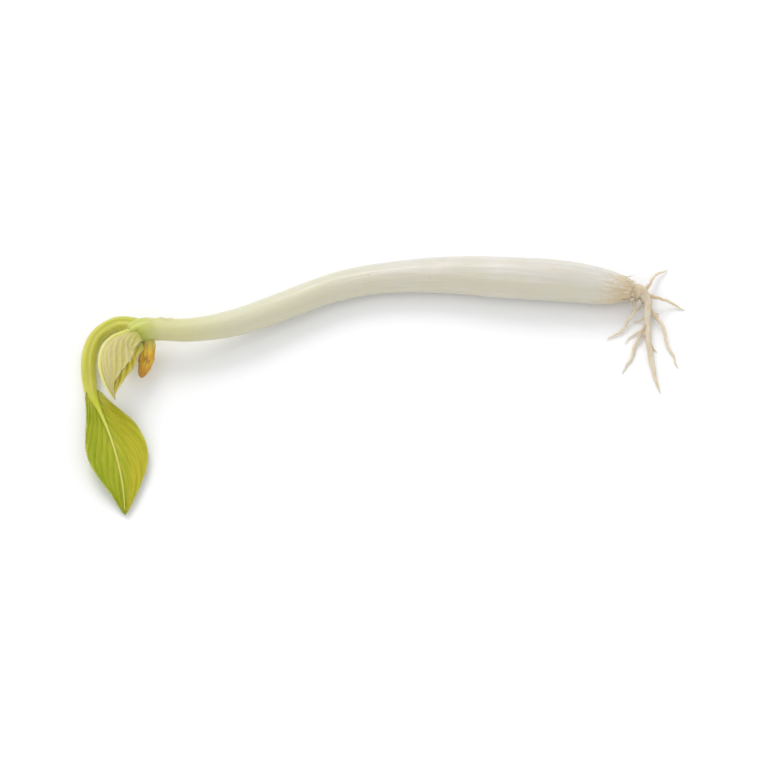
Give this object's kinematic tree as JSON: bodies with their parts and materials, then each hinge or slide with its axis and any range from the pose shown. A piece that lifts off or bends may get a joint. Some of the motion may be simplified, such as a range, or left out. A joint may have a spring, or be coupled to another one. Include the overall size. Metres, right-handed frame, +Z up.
{
  "type": "mung bean sprout",
  "caption": "A mung bean sprout lying on its side: thick white stem, arched neck with a pair of small green first leaves, and a thin tan root with side rootlets.",
  "frame": {"origin": "middle of the footprint, on the surface that the sprout lies on", "axes": "+X from the leaves to the root, +Z up out of the surface, +Y to the back"},
  "size_m": [0.0606, 0.0278, 0.0054],
  "materials": {
    "stem_flesh": "moist, translucent white flesh",
    "root_skin": "matt, thin tan skin",
    "green_shoot": "moist, pale yellow-green",
    "withered_rust": "dry, wrinkled, rust brown",
    "leaf_green": "soft satin yellow-green with veins",
    "leaf_pale": "soft satin pale yellow-green, pleated"
  },
  "bodies": {
    "root": {"hypocotyl": "stem_flesh", "root": "root_skin", "epicotyl": "green_shoot", "cotyledon_stub": "withered_rust", "leaf_outer": "leaf_green", "leaf_inner": "leaf_pale"}
  },
  "joints": []
}
